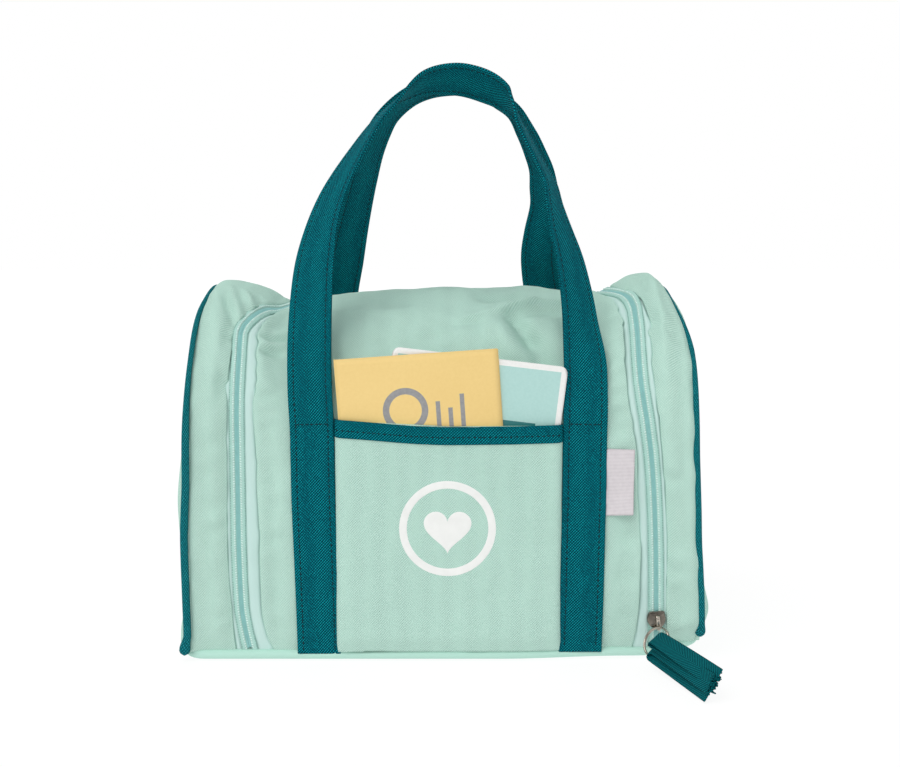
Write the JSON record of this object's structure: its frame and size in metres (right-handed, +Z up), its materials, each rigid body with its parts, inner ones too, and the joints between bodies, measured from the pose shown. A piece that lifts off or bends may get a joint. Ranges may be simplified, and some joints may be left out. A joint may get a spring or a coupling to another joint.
{
  "type": "toy doctor case",
  "caption": "Soft barrel bag in mint canvas with twin teal webbing handles, a front pocket with booklet and card, and a zipped flap at each end.",
  "frame": {"origin": "on the floor under the middle of the bag; centre of the bounding box's bottom face", "axes": "+X along the bag to its right end, -Y to the front with the pocket, +Z up"},
  "size_m": [0.2618, 0.275, 0.3016],
  "materials": {
    "canvas": "mint green woven polyester canvas with a fine diagonal twill, soft and padded",
    "lining": "thin plain woven mint lining",
    "board": "stiff grey board sewn into the base",
    "webbing": "dark teal twill tape, double stitched along both edges",
    "print": "white transfer print, thin and matt",
    "satin": "pinkish grey satin ribbon",
    "zip_tape": "pale mint woven zip tape",
    "zip_coil": "mint nylon coil, slightly glossy",
    "nickel": "warm polished nickel plate",
    "piping": "teal bias tape over a round cord",
    "ribbon": "teal herringbone ribbon with frayed ends",
    "booklet_paper": "warm yellow uncoated paper, folded once",
    "card_stock": "pale blue-green card with a white border and round corners"
  },
  "bodies": {
    "bag": {"body_wrap": "canvas", "body_lining": "lining", "base_panel": "canvas", "base_board": "board", "front_pocket": "canvas", "pocket_binding": "webbing", "pocket_motif": "print", "side_label": "satin", "front_left_strap": "webbing", "front_right_strap": "webbing", "rear_left_strap": "webbing", "rear_right_strap": "webbing", "right_zip_body_tape": "zip_tape", "right_zip_body_coil": "zip_coil", "left_zip_body_tape": "zip_tape", "left_zip_body_coil": "zip_coil", "zip_stops": "nickel"},
    "right_flap": {"right_gusset": "canvas", "right_end_panel": "canvas", "right_end_lining": "lining", "right_piping": "piping", "right_zip_door_tape": "zip_tape", "right_zip_door_coil": "zip_coil"},
    "left_flap": {"left_gusset": "canvas", "left_end_panel": "canvas", "left_end_lining": "lining", "left_piping": "piping", "left_zip_door_tape": "zip_tape", "left_zip_door_coil": "zip_coil"},
    "right_slider_body": {"right_slider": "nickel"},
    "right_ring_body": {"right_split_ring": "nickel"},
    "right_tassel_body": {"right_tassel": "ribbon"},
    "left_slider_body": {"left_slider": "nickel"},
    "left_ring_body": {"left_split_ring": "nickel"},
    "left_tassel_body": {"left_tassel": "ribbon"},
    "front_handle_body": {"front_handle": "webbing"},
    "rear_handle_body": {"rear_handle": "webbing"},
    "booklet_body": {"booklet": "booklet_paper"},
    "card_body": {"card": "card_stock"}
  },
  "joints": [
    {"name": "right_flap_hinge", "type": "hinge", "parent": "bag", "child": "right_flap", "pos_m": [0.133, 0, 0.006], "axis": [0, 1, 0], "range_deg": [0, 90]},
    {"name": "left_flap_hinge", "type": "hinge", "parent": "bag", "child": "left_flap", "pos_m": [-0.133, 0, 0.006], "axis": [0, -1, 0], "range_deg": [0, 90]},
    {"name": "front_handle_fold", "type": "hinge", "parent": "bag", "child": "front_handle_body", "pos_m": [0, -0.0779, 0.1213], "axis": [1, 0, 0], "range_deg": [0, 135]},
    {"name": "rear_handle_fold", "type": "hinge", "parent": "bag", "child": "rear_handle_body", "pos_m": [0, 0.0779, 0.1213], "axis": [-1, 0, 0], "range_deg": [0, 135]},
    {"name": "right_slider_run", "type": "slide", "parent": "bag", "child": "right_slider_body", "axis": [-0.045, 0, 0.999], "range_m": [0, 0.08]},
    {"name": "left_slider_run", "type": "slide", "parent": "bag", "child": "left_slider_body", "axis": [0.045, 0, 0.999], "range_m": [0, 0.08]},
    {"name": "right_ring_swing", "type": "hinge", "parent": "right_slider_body", "child": "right_ring_body", "pos_m": [0.10744, -0.0791, 0.01775], "axis": [-1, 0, 0], "range_deg": [0, 60]},
    {"name": "left_ring_swing", "type": "hinge", "parent": "left_slider_body", "child": "left_ring_body", "pos_m": [-0.10744, 0.0791, 0.01775], "axis": [1, 0, 0], "range_deg": [0, 60]},
    {"name": "right_tassel_swing", "type": "hinge", "parent": "right_ring_body", "child": "right_tassel_body", "pos_m": [0.1116, -0.08674, 0.01156], "axis": [-0.3006, -0.501, -0.8116], "range_deg": [0, 50]},
    {"name": "left_tassel_swing", "type": "hinge", "parent": "left_ring_body", "child": "left_tassel_body", "pos_m": [-0.1116, 0.08674, 0.01156], "axis": [0.3006, 0.501, -0.8116], "range_deg": [0, 50]},
    {"name": "booklet_pull", "type": "slide", "parent": "bag", "child": "booklet_body", "axis": [0, 0, 1], "range_m": [0, 0.115]},
    {"name": "card_pull", "type": "slide", "parent": "bag", "child": "card_body", "axis": [0, 0, 1], "range_m": [0, 0.118]}
  ]
}
